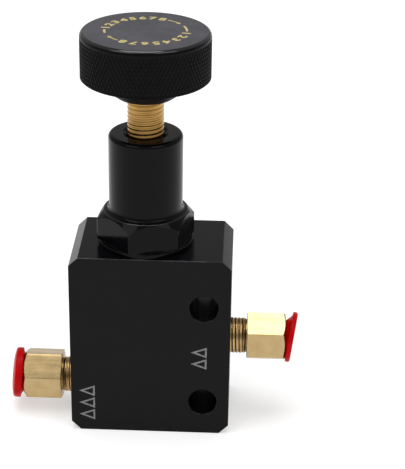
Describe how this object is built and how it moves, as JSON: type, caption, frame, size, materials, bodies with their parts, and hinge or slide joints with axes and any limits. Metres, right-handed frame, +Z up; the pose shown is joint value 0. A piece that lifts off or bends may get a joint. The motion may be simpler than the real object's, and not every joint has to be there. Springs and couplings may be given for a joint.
{
  "type": "adjustable hydraulic proportioning valve",
  "caption": "Hand-adjusted hydraulic proportioning valve: machined block, side line fittings with dust plugs, hexagonal bonnet and knurled knob on a threaded stem that loads a spring.",
  "frame": {"origin": "centre of the block's bottom face", "axes": "+Z up along the block and the stem, +X towards the inlet fitting, -Y towards the front face"},
  "size_m": [0.0837, 0.0352, 0.1159],
  "materials": {
    "black_anodised": "satin black anodised, machined edges",
    "black_knob": "satin black anodised with a turned top",
    "brass": "bright machined brass",
    "steel": "plain bright steel",
    "rubber": "black moulded rubber",
    "red_plastic": "glossy moulded red plastic"
  },
  "bodies": {
    "valve_housing": {"valve_body": "black_anodised", "bonnet": "black_anodised", "bonnet_o_ring": "rubber", "guide_bush": "brass", "guide_o_ring": "rubber", "rod_seal": "rubber", "spacer_sleeve": "brass", "valve_seal": "rubber", "main_spring": "steel", "inlet_fitting": "brass", "outlet_fitting": "brass"},
    "spring_cup": {"upper_spring_seat": "steel", "thrust_ball": "steel"},
    "knob_and_stem": {"knob": "black_knob", "knob_grub_screw": "steel", "adjuster_stem": "brass", "stem_retaining_ring": "steel"},
    "piston_set": {"piston": "steel", "piston_retaining_ring": "steel", "lower_spring_seat": "steel"},
    "inlet_cap": {"inlet_dust_plug": "red_plastic"},
    "outlet_cap": {"outlet_dust_plug": "red_plastic"}
  },
  "joints": [
    {"name": "stem_feed", "type": "slide", "parent": "valve_housing", "child": "spring_cup", "axis": [0, 0, 1], "range_m": [-0.01, 0], "deforming": ["main_spring"]},
    {"name": "knob_turn", "type": "hinge", "parent": "spring_cup", "child": "knob_and_stem", "pos_m": [-0.002, 0, 0.095], "axis": [0, 0, 1], "range_deg": [-2881, 0]},
    {"name": "piston_lift", "type": "slide", "parent": "valve_housing", "child": "piston_set", "axis": [0, 0, 1], "range_m": [0, 0.0012], "stiffness_N_per_m": 3000, "springref_m": -0.004},
    {"name": "inlet_plug_pull", "type": "slide", "parent": "valve_housing", "child": "inlet_cap", "axis": [0.9876, -0.104, -0.118], "range_m": [0, 0.012]},
    {"name": "outlet_plug_pull", "type": "slide", "parent": "valve_housing", "child": "outlet_cap", "axis": [-0.9895, -0.102, 0.102], "range_m": [0, 0.012]}
  ],
  "couplings": [
    {"joint": "knob_turn", "follows": "stem_feed", "rad_per_m": 5026.5}
  ]
}
